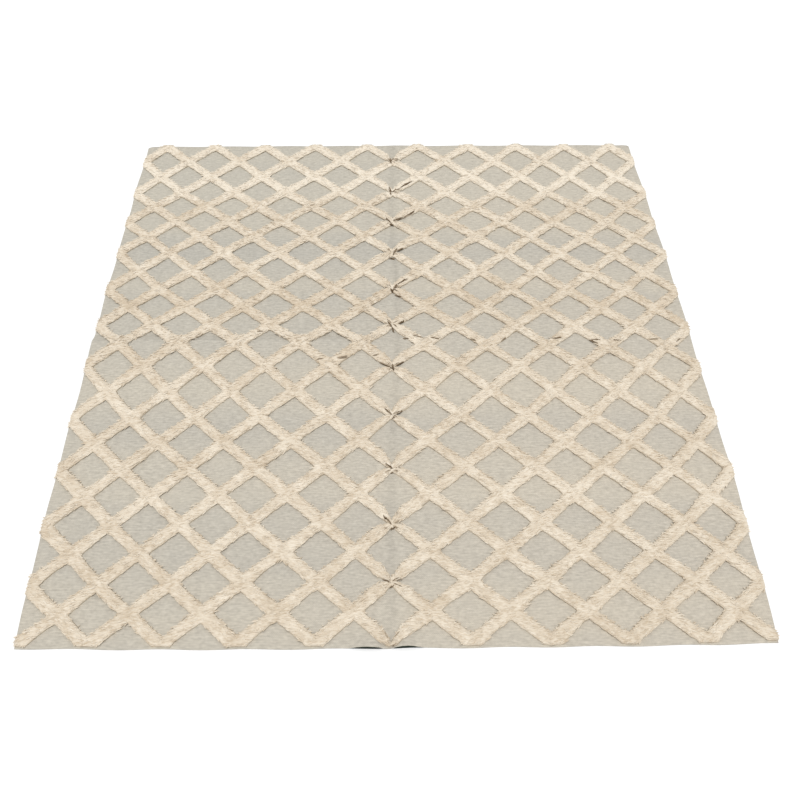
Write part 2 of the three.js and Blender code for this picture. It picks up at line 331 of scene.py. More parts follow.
# painted shade: darker lines along the fold in the left half
FOLD_SHADE = {"y": 16 * MM, "step": 71 * MM, "width": 8 * MM, "dark": 0.056}
HEM = {"width": 6 * MM, "dark": 0.16}
CREASE_SHADE = {"width": 17 * MM, "dark": 0.085, "bulge": 15 * MM}
WEAVE_NOISE = {
    # how many waves a metre across and along, how fine, and how much it changes the colour
    "threads": ((65, 230, 1), 1, 0.5),
    "slub": ((30, 300, 1), 2, 0.1),
    "streak": ((45, 110, 1), 3, 0.2),
    "mottle": ((170, 130, 1), 2, 0.27),
}
GRID_SHARE = 0.05
CLOUD = {"scale": (11, 16, 1), "detail": 4, "share": 0.5}
LOT_WANDER = (9, 2, 1)
TONE_SHIFT = -0.1
WEAVE_BUMP = {"grid": 0.5, "slub": 1.2, "Strength": 0.45, "Distance": 0.5 * MM}


def object_xy(wire):
    place = wire.node("ShaderNodeTexCoord", output="Object")
    parts = wire.node("ShaderNodeSeparateXYZ", inputs={0: place}).socket.node.outputs
    return place, Wire(wire.tree, parts[0]), Wire(wire.tree, parts[1]), Wire(wire.tree, parts[2])


def stretched_noise(wire, place, scale, detail=2.0):
    scaled = wire.node("ShaderNodeVectorMath", {"operation": "MULTIPLY"}, {0: place, 1: scale})
    return wire.node("ShaderNodeTexNoise", {}, {"Vector": scaled, "Scale": 1.0, "Detail": detail})


def new_material(name):
    made = bpy.data.materials.new(name)
    made.use_nodes = True
    shader = made.node_tree.nodes["Principled BSDF"]
    shader.inputs["Specular IOR Level"].default_value = 0.2
    return made, shader, Wire(made.node_tree)


def link(wire, shader, name):
    wire.tree.links.new(wire.socket, shader.inputs[name])


def add_bump(wire, shader, height, sizes):
    bump = wire.node("ShaderNodeBump", {}, {
        "Height": height, "Strength": sizes["Strength"], "Distance": sizes["Distance"]})
    link(bump, shader, "Normal")


def greige_weave():
    made, shader, wire = new_material("greige_weave")
    place, x, y, _ = object_xy(wire)
    wander = stretched_noise(wire, place, LOT_WANDER) - 0.5
    low, high = ABRASH[0][0] * MM, ABRASH[-1][0] * MM
    share = (y + wander * LOT_EDGE * 2 - low) / (high - low)
    stops = [((at * MM - low) / (high - low), tone) for at, tone in ABRASH]
    lot = wire.node("ShaderNodeValToRGB", {"stops": stops}, {0: share})
    noises = {name: stretched_noise(wire, place, scale, detail) - 0.5
              for name, (scale, detail, _) in WEAVE_NOISE.items()}
    cloud = stretched_noise(wire, place, CLOUD["scale"], CLOUD["detail"]) - 0.5
    warp = (x * (2 * math.pi / WARP_PITCH)).sine()
    weft = (y * (2 * math.pi / WEFT_PITCH)).sine()
    grid = warp * weft
    slope = (CREASE_FAR - CREASE_NEAR) / (2 * END)
    bulge = y.between(-0.45, -0.05) - y.between(0.15, 0.5)
    off_crease = (x - y * slope - bulge * CREASE_SHADE["bulge"] - float(crease_x(0))).size()
    # painted shade: darker lines along the fold in the left half, and a darker strip along the long crease
    fold_y = FOLD_SHADE["y"] - x.between(-0.27, -0.23) * FOLD_SHADE["step"]
    off_fold = (y - fold_y).size() + x.between(-0.06, -0.03)
    fold_shade = off_fold.between(FOLD_SHADE["width"], 0)
    creased = off_crease.between(CREASE_SHADE["width"], 0)
    # painted shade: the left half a little darker, the right a little lighter
    painted_half_shade = x.between(-0.1, 0.1) - 0.5
    tone = lot + TONE_SHIFT + cloud * CLOUD["share"] + painted_half_shade * PAINTED_HALF_SHADE
    fine = grid * GRID_SHARE
    for name, (_, _, share) in WEAVE_NOISE.items():
        fine = fine + noises[name] * share
    cloth = tone.mix(GROUND_DARK, GROUND_LIGHT).scaled(
        1 + fine - fold_shade * FOLD_SHADE["dark"] - creased * CREASE_SHADE["dark"])
    warm = (x.between(-0.8, 0.8) + y.between(0.9, -0.9)) * 0.5
    cloth = wire.node("ShaderNodeVectorMath", {"operation": "MULTIPLY"},
                      {0: cloth, 1: warm.mix((1, 1, 1, 1), WARMER)})
    hem = wire.node("ShaderNodeAttribute", {"attribute_name": "hem"}, output="Fac")
    cloth = cloth.scaled(1 - hem * HEM["dark"])
    # painted shadow: the inside of the near end's arches is coloured nearly black
    shut = wire.node("ShaderNodeAttribute", {"attribute_name": "shut"}, output="Fac")
    link(shut.between(0.05, 0.3).mix(cloth, PAINTED_ARCH_SHADOW), shader, "Base Color")
    relief = grid * WEAVE_BUMP["grid"] + noises["slub"] * WEAVE_BUMP["slub"]
    add_bump(wire, shader, relief, WEAVE_BUMP)
    link(0.9 + noises["slub"] * 0.1, shader, "Roughness")
    return made


GREIGE = greige_weave()
print("ground finish has", len(GREIGE.node_tree.nodes), "nodes")

# %% [markdown]
# ## The pile's finish
# Cream wool is never one colour: each lock takes the dye a little differently, tips catch the
# light, and the shade deep between the locks is painted in as dark brown. Two attributes drive
# this. "tone" is one random number for each lock, and "up" runs from 0 at the root to 1 at the
# tip; the lowest part of it gets the painted shade. Only where "tone" falls below nought does the
# painted brown shade take over the whole lock, so a lock can be made a dark strand.

# %% Cream wool
# painted shade: the dark brown of shade deep in the pile, between the locks and in the partings
PAINTED_PILE_SHADE = (0.13, 0.085, 0.045, 1)
WOOL_TAN = (0.575, 0.48, 0.36, 1)
WOOL_CREAM = (0.775, 0.70, 0.585, 1)
PATCHES = {"scale": (24, 24, 24), "detail": 3, "share": 1.3}
FIBRES = {"scale": (90, 420, 420), "detail": 2, "share": 1.8}
FIBRE_BUMP = {"Strength": 0.5, "Distance": 0.8 * MM}


def cream_wool():
    made, shader, wire = new_material("cream_wool")
    place, _, _, _ = object_xy(wire)
    tone = wire.node("ShaderNodeAttribute", {"attribute_name": "tone"}, output="Fac")
    up = wire.node("ShaderNodeAttribute", {"attribute_name": "up"}, output="Fac")
    patch, fibre = (stretched_noise(wire, place, kind["scale"], kind["detail"]) - 0.5
                    for kind in (PATCHES, FIBRES))
    light = (tone + patch * PATCHES["share"] + fibre * FIBRES["share"]).mix(WOOL_TAN, WOOL_CREAM)
    # painted shade: a low "up" or a negative "tone" turns the wool to the dark brown of shade
    depth = up.between(-0.1, 0.3) * tone.between(-1.4, -0.1)
    link(depth.mix(PAINTED_PILE_SHADE, light), shader, "Base Color")
    add_bump(wire, shader, fibre, FIBRE_BUMP)
    link(0.85 + fibre * 0.2, shader, "Roughness")
    return made


CREAM = cream_wool()
print("pile finish has", len(CREAM.node_tree.nodes), "nodes")

# %% [markdown]
# ## The ground cloth
# The cloth is a grid of points between the four edges, closer together along the creases and
# along the edges, where the shape turns. A second layer 3 mm below closes it. It could be a plane
# with Solidify, but here the rim is rounded by hand, because a selvedge is a folded weft.
# Soft puckers come from a few long waves: the pile's knots draw the wefts in. The far corners are
# a little rounded. Under the arches of the near end the lower layer comes down to the floor close
# behind the rim, which closes their mouths and keeps the sheet one closed skin. That wall is painted
# nearly black, as the shadow under the arches.

# %% Grid lines that gather where the shape turns
GRID_STEP = 11 * MM
FINE_STEP = 2.5 * MM
RIM = [0.0, 0.9 * MM, 2.2 * MM, 5 * MM]
FINE_REACH = 14 * MM
FINE_RIM = {"side": 5 * MM, "near": 4 * MM}
CORNER = {"reach": 20 * MM, "cut": 10 * MM}
CALM_RIM = 20 * MM
MOUTH = {"depth": 4 * MM, "start": 1.2, "foot": 0.2 * MM, "dark": 0.3}


def grid_lines(low, high, turns):
    """Distances from low to high, with fine steps close to each turn."""
    lines = []
    at = low + RIM[-1]
    while at < high - RIM[-1] - FINE_STEP:
        lines.append(at)
        close = any(abs(at - turn) < FINE_REACH for turn in turns)
        at += FINE_STEP if close else GRID_STEP
    return np.array([low + step for step in RIM[:-1]] + lines + [high - step for step in reversed(RIM)])


PUCKERS = [
    # height and the two wavelengths in millimetres, and a start in radians
    (0.35, 46, 171, 0.3),
    (0.30, 122, 38, 1.9),
    (0.25, 63, 59, 4.1),
    (0.22, 31, 83, 5.2),
]


def puckers(x, y):
    total = np.zeros_like(x)
    for height, wave_x, wave_y, start in PUCKERS:
        bend = 1.3 * np.sin(x / (3 * wave_x * MM) - y / (2 * wave_y * MM))
        total += height * MM * np.sin(x / (wave_x * MM) * 2.1 + y / (wave_y * MM) * 2.1 + start + bend)
    return total


def ground_top(x, y):
    """Height of the cloth's upper face over the floor, without the puckers."""
    return lift(x, y) + CLOTH


def new_object(name, mesh, material):
    made = bpy.data.objects.new(name, mesh)
    bpy.context.scene.collection.objects.link(made)
    mesh.materials.append(material)
    mesh.shade_smooth()
    return made


def add_values(mesh, name, values):
    mesh.attributes.new(name, "FLOAT", "POINT").data.foreach_set("value", values)


def cloth_points():
    """The places of the cloth's points across and along the rug, and how far each lies inside the
    rim, from the near end and from the far end."""
    left, right = edge("left", 0), edge("right", 0)
    near, far = edge("near", 0), edge("far", 0)
    xs = grid_lines(0, right - left, [crease_x(0) - left, FINE_RIM["side"], right - left - FINE_RIM["side"]])
    ys = grid_lines(0, far - near, [FOLD_Y - near, FINE_RIM["near"] - near])
    u, v = np.meshgrid(xs / xs[-1], ys / ys[-1], indexing="ij")
    rough_y = near + v * (far - near)
    x = edge("left", rough_y) * (1 - u) + edge("right", rough_y) * u
    x += (crease_x(rough_y) - crease_x(0)) * tent(x - crease_x(0), COLUMNS[-1])
    to_side = np.minimum(x - edge("left", rough_y), edge("right", rough_y) - x)
    in_corner = np.clip(1 - to_side / CORNER["reach"], 0, 1)
    y = edge("near", x) * (1 - v) + (edge("far", x) - CORNER["cut"] * (1 - np.sqrt(1 - in_corner ** 2))) * v
    inset = np.minimum(np.minimum(u, 1 - u) * xs[-1], np.minimum(v, 1 - v) * ys[-1])
    return x, y, inset, v * ys[-1], (1 - v) * ys[-1]


def two_layers(name, x, y, top, below):
    """A mesh of two grids of points. They meet at the rim, where weld() joins them."""
    upper, lower = (np.stack([x, y, z], -1).reshape(-1, 3) for z in (top, below))
    index = np.arange(x.size).reshape(x.shape)
    faces = np.stack([index[:-1, :-1], index[1:, :-1], index[1:, 1:], index[:-1, 1:]], -1).reshape(-1, 4)
    mesh = bpy.data.meshes.new(name)
    mesh.from_pydata(np.concatenate([upper, lower]).tolist(), [],
                     np.concatenate([faces, faces[:, ::-1] + x.size]).tolist())
    return mesh


def weld(mesh, distance):
    """Merges points that lie on each other, as the two layers do along the rim."""
    work = bmesh.new()
    work.from_mesh(mesh)
    bmesh.ops.remove_doubles(work, verts=work.verts, dist=distance)
    work.to_mesh(mesh)
    work.free()


def make_ground():
    x, y, inset, from_near, from_far = cloth_points()
    rim = np.clip(inset / RIM[-2], 0, 1)
    drop = (CLOTH / 2) * (1 - np.sqrt(1 - (1 - rim) ** 2))
    calm = np.clip(inset / CALM_RIM, 0, 1)
    top = ground_top(x, y) + puckers(x, y) * calm - drop
    mouth = np.where(from_near > 0, np.clip(MOUTH["start"] - from_near / MOUTH["depth"], 0, 1), 0)
    mouth *= np.clip(arch(x) / MM, 0, 1)
    below = (lift(x, y) + drop) * (1 - mouth) + MOUTH["foot"] * mouth
    mesh = two_layers("ground_cloth", x, y, top, below)
    hem = np.clip(1 - from_far / HEM["width"], 0, 1).ravel()
    add_values(mesh, "hem", np.concatenate([hem, hem]))
    # marks the lower layer's points in the arches' mouths, which get the painted shadow
    add_values(mesh, "shut", np.concatenate([np.zeros(hem.size), (mouth > MOUTH["dark"]).ravel()]))
    weld(mesh, 0.01 * MM)
    return new_object("ground_cloth", mesh, GREIGE)


ground = make_ground()
print("ground cloth:", len(ground.data.polygons), "faces")

# %% [markdown]
# ## Where the pile parts
# A fold opens the pile. Where it crosses a band, the locks fall to both sides and a dark parting
# shows between them. Each parting was placed one by one as a thin oval: most lie along the bands'
# edges and in the corners beside the long crease. Two numbers come from them for every place on the
# rug: how close the next parting is, and how deep the pile lies open.

# %% The partings
LONG_CREASE = [
    # from the far end: middle across and along the rug, heading in degrees, length and width
    (-1, 829, -86, 34, 2.5), (14, 837, 30, 20, 2.5),
    (-4, 662, -82, 40, 4.5), (15, 667, 40, 30, 3), (49, 697, 42, 50, 2.5),
    (-10, 511, -59, 26, 3.5), (0, 492, 5, 12, 5), (22, 519, 33, 34, 3), (55, 544, 41, 42, 2.2),
    (0, 334, 0, 18, 5), (8, 363, 69, 30, 4), (24, 374, 27, 20, 7),
    (-3, 187, -72, 20, 5), (7, 202, 56, 24, 4), (29, 228, 37, 34, 3.8), (15, 168, -33, 22, 3),
    (-10, 49, -62, 24, 3.5), (-2, 29, -75, 18, 5), (23, 59, 44, 22, 3.2),
    (-22, -106, -35, 38, 6), (-4, -114, -77, 22, 6), (15, -101, 41, 28, 6),
    (-17, -273, -49, 26, 3), (-3, -290, 33, 12, 6), (11, -273, 37, 20, 3),
    (-17, -448, -47, 22, 3.5), (-9, -465, 40, 10, 5),
    (-22, -606, -55, 28, 4), (-10, -628, 31, 12, 6),
    (-25, -769, -31, 20, 4), (-14, -783, 40, 12, 5),
    (-27, -901, -66, 15, 3), (-5, -901, 47, 13, 3),
]
CROSS_CREASE = [
    # the same: the right half, then the left half
    (33, -2, -11, 20, 4.5), (65, 1, -18, 36, 3), (114, -5, -14, 32, 4), (214, -9, -17, 27, 5),
    (298, -8, 47, 24, 4), (376, -16, -30, 24, 4.5), (442, -7, 0, 30, 3), (541, -19, -39, 34, 5),
    (546, -12, 0, 28, 3), (607, -16, -14, 28, 2.5), (699, -11, -5, 42, 8), (698, -36, -49, 18, 3),
    (770, -17, 48, 18, 3),
    (-202, -84, 8, 38, 5), (-132, -77, 10, 42, 14), (-87, -54, 0, 22, 4), (-53, -70, 9, 36, 7),
    (-50, -19, 5, 30, 4.5),
]
LOOSE_PLACES = [
    # the same: single places where the pile lies a little open
    (-732, 1, 39, 18, 3), (-363, 24, 10, 18, 3), (734, 398, 12, 22, 6), (79, -56, 0, 16, 5),
    (165, -140, 0, 16, 4), (700, 320, 12, 18, 3), (-245, 590, 20, 16, 4), (560, -480, 25, 20, 3),
]
OPEN = [
    # a table, how much longer and wider its partings are made, and how deep they are
    (LONG_CREASE, 1.25, 1.1, 1.0),
    (CROSS_CREASE, 1.0, 0.75, 0.8),
    (LOOSE_PLACES, 1.0, 0.75, 0.6),
]
SHALLOW_END = {"y": -850, "deep": 0.5}
PARTINGS = [
    (x, y, turn, length * longer, width * wider, deep if y > SHALLOW_END["y"] else SHALLOW_END["deep"])
    for table, longer, wider, deep in OPEN
    for x, y, turn, length, width in table
]
OPENING = 2.5
FAR_AWAY = -9.0
SPLIT = {"reach": 25 * MM, "depth": 2 * MM}
PINCH = {"y": -10 * MM, "reach": 32 * MM, "depth": 1.5 * MM}
PILE_WAVE = {"height": 0.7 * MM, "across": 53 * MM, "along": 71 * MM}


def partings_at(x, y):
    """How close a place is to a parting, from 1 on its middle line to 0 on its rim and less outside,
    and how deep the pile lies open there, from 0 to 1."""
    nearest = np.full(np.shape(x), FAR_AWAY)
    depth = np.zeros(np.shape(x))
    for middle_x, middle_y, turn, length, width, deep in PARTINGS:
        turn = math.radians(turn)
        dx, dy = x / MM - middle_x, y / MM - middle_y
        lengthways = (dx * math.cos(turn) + dy * math.sin(turn)) / (length / 2)
        sideways = (dy * math.cos(turn) - dx * math.sin(turn)) / (width / 2)
        close = 1 - np.hypot(lengthways ** 2, sideways)
        nearest = np.maximum(nearest, close)
        depth = np.maximum(depth, deep * np.clip(close * OPENING, 0, 1))
    return nearest, depth


def parting(x, y):
    return partings_at(x, y)[0]


def opened(x, y):
    return partings_at(x, y)[1]


def pile_top(x, y):
    """Height of the pile's tips over the floor. They sink along the long crease and, in the right
    half, along the cross crease."""
    wave = np.sin(x / PILE_WAVE["across"] + 2 * np.sin(y / PILE_WAVE["along"]))
    split = tent(x - crease_x(y), SPLIT["reach"])
    pinch = np.where(x > crease_x(y), tent(y - PINCH["y"], PINCH["reach"]), 0)
    sunk = np.maximum(SPLIT["depth"] * split, PINCH["depth"] * pinch)
    return ground_top(x, y) + PILE + PILE_WAVE["height"] * wave - sunk


print(len(PARTINGS), "partings; the pile stands", round(float(pile_top(0.4, 0.3)) / MM, 1), "mm high")

# %% [markdown]
# ## The bands of pile
# Each band runs slantwise from edge to edge. In the lattice's own count a band is a line where
# column minus row, or column plus row, is a whole number. It bows a little between crossings, the
# corners beside a crossing are small arcs, and the long crease pinches the bands that cross it.
# A curve object with a bevel could trace such a band, but its width and its corners change all
# the way, so a table of points does it. A band is first a low bed of tangled wool, and the locks of
# yarn are planted on it.

# %% Paths of the bands
BAND = 31 * MM
SWAY = 2.5 * MM
SWAY_STEP = {"column": 6.2, "row": 4.6}
UNEVEN_WIDTH = 0.1
WIDTH_WAVE = {"across": 37 * MM, "along": 23 * MM}
CREASE_TAPER = {"reach": 26 * MM, "share": 0.62}
CREASE_PULL = MM * np.array([8, 4, 9, 12, 4, 8, 0, 2, 2, 3, 3, 7])
PULL_REACH = 30 * MM
FOLD_SPREAD = {"y": -8 * MM, "reach": 45 * MM, "share": 0.15}
FOLD_STEP = {"x": -168 * MM, "y": -95 * MM, "reach": 60 * MM, "share": 0.5}
FILLETS = {
    # radius of a corner: "under" a crossing at the near and the far end, under one on the long
    # crease at the far end, beside and above a crossing, and above one on the fold
    "under": (6 * MM, 8 * MM), "creased": 22 * MM, "beside": 8 * MM, "above": 5 * MM, "folded": 30 * MM,
}
LAST_SHARP_ROW = 5
STEPS_PER_COLUMN = 18
FINE_STEPS = 90
SHORTEST_BAND = FINE_STEPS / 8
CREASED = -2.0
OVERRUN = 0.1
BARE_END = {"near": 3 * MM, "far": 2 * MM}


def lattice_point(column, row):
    """Places of points given in columns and rows. The outer crossings lie on the selvedges."""
    y = along(column, row)
    x = across(column, row)
    for name, outer, inner in (("left", 0, 0.5), ("right", LAST_COLUMN, LAST_COLUMN - 0.5)):
        share = (column - inner) / (outer - inner)
        past = across(np.full_like(x, inner), row) * (1 - share) + edge(name, y) * share
        x = np.where(share > 0, past, x)
    pull = np.interp(row, np.arange(len(CREASE_PULL)), CREASE_PULL)
    return x, y - pull * tent(x - crease_x(y), PULL_REACH)


def band_paths():
    """For each band, its direction, 1 for rising to the right and -1 for falling, and the columns
    and rows of its points, which lie closer together at the partings."""
    paths = []
    for rise in (1, -1):
        low = -math.ceil(LAST_ROW) if rise == 1 else 0
        high = LAST_COLUMN if rise == 1 else LAST_COLUMN + math.ceil(LAST_ROW)
        for number in range(low, high + 1):
            steps = np.arange(-OVERRUN * FINE_STEPS, (LAST_COLUMN + OVERRUN) * FINE_STEPS + 1)
            column = steps / FINE_STEPS
            row = rise * (column - number)
            inside = (row > -OVERRUN) & (row < LAST_ROW + OVERRUN)
            whole = np.mod(np.round(steps), FINE_STEPS // STEPS_PER_COLUMN) == 0
            chosen = inside & (whole | near_parting(*lattice_point(column, row)))
            if inside.sum() > SHORTEST_BAND:
                paths.append((rise, column[chosen], row[chosen]))
    return paths


def near_parting(x, y):
    """True where a band's middle is close enough to a parting for the parting to lie in its pile."""
    beside = [parting(x + across_band * BAND, y) for across_band in (-0.5, -0.25, 0, 0.25, 0.5)]
    return np.max(beside, axis=0) > CREASED


def clamp_to_rug(x, y, inset):
    """Keeps places this far inside the rug's edges, and off the bare strip at both ends."""
    x = np.clip(x, edge("left", y) + inset, edge("right", y) - inset)
    y = np.clip(y, edge("near", x) + inset + BARE_END["near"], edge("far", x) - inset - BARE_END["far"])
    return x, y


def fillet(distance, half, radius):
    """How much a band widens this far from a crossing, so that the corner beside it is an arc."""
    gone = np.clip(half + radius - distance, 0, radius * math.sqrt(0.5))
    return radius - np.sqrt(radius ** 2 - gone ** 2)


def half_band(x, y):
    """Half the width of a band away from its crossings."""
    half = (BAND / 2) * (1 + UNEVEN_WIDTH * np.sin(x / WIDTH_WAVE["across"] + y / WIDTH_WAVE["along"]))
    half *= 1 - CREASE_TAPER["share"] * tent(x - crease_x(y), CREASE_TAPER["reach"])
    return half * (1 + FOLD_SPREAD["share"] * on_fold(x, y))


def on_fold(x, y):
    """Up to 1 on the fold in the left half and at the one crossing that it pushes up most, and 0
    away from them."""
    in_left = np.clip((crease_x(y) - x) / RIDGE_FEET["left"] - 0.5, 0, 1)
    step = tent(np.hypot(x - FOLD_STEP["x"], y - FOLD_STEP["y"]), FOLD_STEP["reach"])
    return np.maximum(in_left * tent(y - FOLD_SPREAD["y"], FOLD_SPREAD["reach"]), FOLD_STEP["share"] * step)


def trace(rise, column, row):
    """A band's middle line, its direction and the way across it towards the near end, both unit
    vectors, and its half widths on the near and the far side."""
    x, y = lattice_point(column, row)
    # each stretch between two crossings bows to one side, by the column and row of its middle
    at_column = np.floor(column * 2) / 2 + 0.25
    if rise == 1:
        at_row = np.interp(at_column, column, row)
    else:
        at_row = np.interp(-at_column, -column[::-1], row[::-1])
    wave = np.sin(SWAY_STEP["column"] * at_column + SWAY_STEP["row"] * at_row)
    bow = SWAY * wave * np.sin(math.pi * np.mod(column * 2, 1))
    direction = unit(np.stack([np.gradient(x), np.gradient(y)], -1))
    near = np.stack([direction[:, 1], -direction[:, 0]], -1)
    near *= np.where(near[:, 1:] < 0, 1, -1)
    middle = np.stack([x, y], -1) - near * bow[:, None]

    half = half_band(middle[:, 0], middle[:, 1])
    crossing = np.round(column * 2) / 2
    crossing_x, crossing_y = lattice_point(crossing, row + rise * (crossing - column))
    distance = np.hypot(crossing_x - x, crossing_y - y)
    under = np.interp(row, (0, LAST_ROW), FILLETS["under"])
    on_crease = tent(crossing_x - crease_x(crossing_y), CREASE_TAPER["reach"])
    under = under + on_crease * np.interp(row, (LAST_SHARP_ROW, LAST_ROW), (0, FILLETS["creased"]))
    flat = FILLETS["folded"] * on_fold(middle[:, 0], middle[:, 1])
    beyond = (column - crossing) * rise > 0
    beside = FILLETS["beside"] * (1 - on_crease)
    near_half = half + fillet(distance, half, np.where(beyond, beside, under))
    far_half = half + fillet(distance, half, np.where(beyond, FILLETS["above"] + flat, beside))
    return middle, direction, near, np.stack([near_half, far_half], -1)


def unit(vectors):
    return vectors / np.linalg.norm(vectors, axis=-1, keepdims=True)


PATHS = band_paths()
print(len(PATHS), "bands")

# %% [markdown]
# ## The bed under the locks
# Seen between the locks is a mat of wool. It is a loft: one cross-section, steep towards the
# near end and loose towards the far end, repeated along each band's path. It has more points where
# a parting opens it. A remeshed blob would look as soft, but its edge would lose the lattice.

# %% Loft the bed
BED_SECTION = [
    # place across the band, from the near side at 1 to the far side at -1, and share of the height
    (0.92, -0.10),
    (0.95, 0.20),
    (0.98, 0.45),
    (0.92, 0.70),
    (0.72, 0.84),
    (0.45, 0.90),
    (0.18, 0.92),
    (-0.10, 0.92),
    (-0.38, 0.90),
    (-0.65, 0.80),
    (-0.90, 0.55),
    (-1.08, -0.10),
]
SECTION_POINTS = {"plain": 10, "creased": 26}
PILE_LOTS = np.array([
    # distance along the rug in millimetres, and how much lighter the wool is
    (-930, -0.08), (-607, 0.02), (-520, 0.1), (-430, -0.05), (-232, 0.1), (-32, -0.1), (20, 0.1),
    (120, -0.2), (190, -0.15), (300, 0.1), (440, 0.02), (590, -0.03), (690, 0.5), (780, 0.42),
    (840, 0.22), (930, 0.5),
])
FOOT_LIGHT = ((-END, -0.3 * END), (0.22, 0.3))
FOLD_LIGHT = 0.5
BED_INSET = 1.0 * MM
BED_OPEN = {"sunk": 0.8, "dark": 0.1}
BED_LUMPS = [
    # share of the height, the two wavelengths in millimetres, and a start in radians
    (0.05, 7.1, 5.3, 0.0),
    (0.05, 3.7, 9.7, 1.0),
    (0.05, 11.9, 4.3, 2.0),
]


def pile_lot(y):
    """How much lighter the wool is, so far along the rug."""
    return np.interp(y, PILE_LOTS[:, 0] * MM, PILE_LOTS[:, 1])


def bed_height(x, y, share):
    """Height over the floor of a share of the pile, with lumps, and sunk where the pile lies open."""
    lumps = sum(size * np.sin(x / (wave_x * MM) + y / (wave_y * MM) + start)
                for size, wave_x, wave_y, start in BED_LUMPS)
    tall = pile_top(x, y) - ground_top(x, y)
    standing = 1 - BED_OPEN["sunk"] * opened(x, y)
    return ground_top(x, y) + tall * (share + lumps * np.clip(share, 0, 1)) * standing


def sideways(side, halves):
    """Distance from a band's middle line, for places across it from 1 to -1."""
    return np.where(side > 0, side * halves[..., :1], side * halves[..., 1:])


def section(points):
    """The bed's cross-section with this many points."""
    at = np.linspace(0, len(BED_SECTION) - 1, points)
    return [np.interp(at, np.arange(len(BED_SECTION)), column) for column in zip(*BED_SECTION)]


def runs(flags):
    """Start and end of each run of equal flags. Each run ends on the first sample of the next."""
    turns = np.flatnonzero(np.diff(flags.astype(int))) + 1
    starts = [0, *turns]
    ends = [*turns, len(flags) - 1]
    return [(start, end) for start, end in zip(starts, ends) if end > start]


def loft(path, first, last, creased):
    """Points, as a grid along and around a stretch of a band, and how light each one is."""
    middle, _, near, halves = path
    part = slice(first, last + 1)
    places, shares = section(SECTION_POINTS["creased" if creased else "plain"])
    reach = sideways(places[None], halves[part])[..., None]
    spot = middle[part, None] + near[part, None] * reach
    x, y = clamp_to_rug(spot[..., 0], spot[..., 1], BED_INSET)
    z = bed_height(x, y, shares[None])
    # painted shade: the bed's lower share, and fully its open partings, get the dark brown; it is lighter
    # towards the near end and on the fold
    lit = np.clip(shares + np.interp(y, *FOOT_LIGHT) + FOLD_LIGHT * on_fold(x, y), 0, 1)
    ups = lit * (1 - opened(x, y)) - BED_OPEN["dark"] * opened(x, y)
    return np.stack([x, y, z], -1), ups


def make_bed():
    corners, faces, ups = [], [], []
    for rise, column, row in PATHS:
        path = trace(rise, column, row)
        creased = near_parting(*lattice_point(column, row))
        # a band that rises to the right has its near side on the other hand of its direction
        flip = rise == 1
        for first, last in runs(creased):
            grid, light = loft(path, first, last, creased[first])
            index = len(corners) + np.arange(light.size).reshape(light.shape)
            corners.extend(grid.reshape(-1, 3).tolist())
            ups.extend(light.reshape(-1).tolist())
            turned = np.roll(index, -1, axis=1)
            quads = np.stack([index[:-1], index[1:], turned[1:], turned[:-1]], -1).reshape(-1, 4)
            faces.extend((quads[:, ::-1] if flip else quads).tolist())
            ends = [index[0], index[-1][::-1]]
            faces.extend([(end[::-1] if flip else end).tolist() for end in ends])
    mesh = bpy.data.meshes.new("pile_bed")
    mesh.from_pydata(corners, [], faces)
    add_values(mesh, "up", ups)
    add_values(mesh, "tone", 0.5 + pile_lot(np.array(corners)[:, 1]))
    return new_object("pile_bed", mesh, CREAM)


bed = make_bed()
print("pile bed:", len(bed.data.polygons), "faces")

# %% [markdown]
# ## One lock of yarn
# A lock is a few twisted fibres, so it is a small three-sided horn with a bent tip. It is used
# fifty thousand times, so it has only twelve triangles. Four slightly different ones are enough,
# because each is turned and sized on its own when it is planted. Hair curves would be lighter
# still, but the model leaves Blender as plain meshes, and a curve has no thickness there.

# %% Four locks
LOCK_RINGS = [
    # share of the length, radius in widths, height in widths
    (0.28, 0.50, 0.55),
    (0.70, 0.46, 0.70),
]
LOCK_BENDS = [-1.0, -0.35, 0.4, 1.1]
TIP_HEIGHT = 0.25
LOCK_ROOT_UP = 0.17


def make_lock(number, bend):
    corners = [(0, 0, 0)]
    for share, radius, height in LOCK_RINGS:
        for third in range(3):
            turn = math.radians(90 + 120 * third)
            side = bend * share * share + radius * math.cos(turn)
            corners.append((share, side, height + radius * math.sin(turn)))
    corners.append((1, bend, TIP_HEIGHT))
    faces = []
    for third in range(3):
        a, b = 1 + third, 1 + (third + 1) % 3
        faces += [(0, b, a), (a, b, b + 3, a + 3), (a + 3, b + 3, len(corners) - 1)]
    mesh = bpy.data.meshes.new(f"lock_{number}")
    mesh.from_pydata(corners, [], faces)
    # "up" follows the length, which is the first of a corner's three numbers
    # painted shade: each lock's root starts part way into the dark brown
    ups = [LOCK_ROOT_UP + (1 - LOCK_ROOT_UP) * corner[0] for corner in corners]
    add_values(mesh, "up", ups)
    return bpy.data.objects.new(f"lock_{number}", mesh)


locks = bpy.data.collections.new("locks")
for number, bend in enumerate(LOCK_BENDS):
    locks.objects.link(make_lock(number, bend))

# %% [markdown]
# ## Planting
# Knots are tied along each band in eight lanes, and the knots of a crossing belong to one band
# only. A lock lies nearly along the wefts, leaning a little up its band. Where its tip would hang
# over the near edge it is turned round, so that edge stays crisp. At the far edge it may reach a
# little over the ground, so that edge is feathery. Knots could be scattered over the bed by a node,
# but lanes keep the rows that a weaver ties, and each rule below is one line.

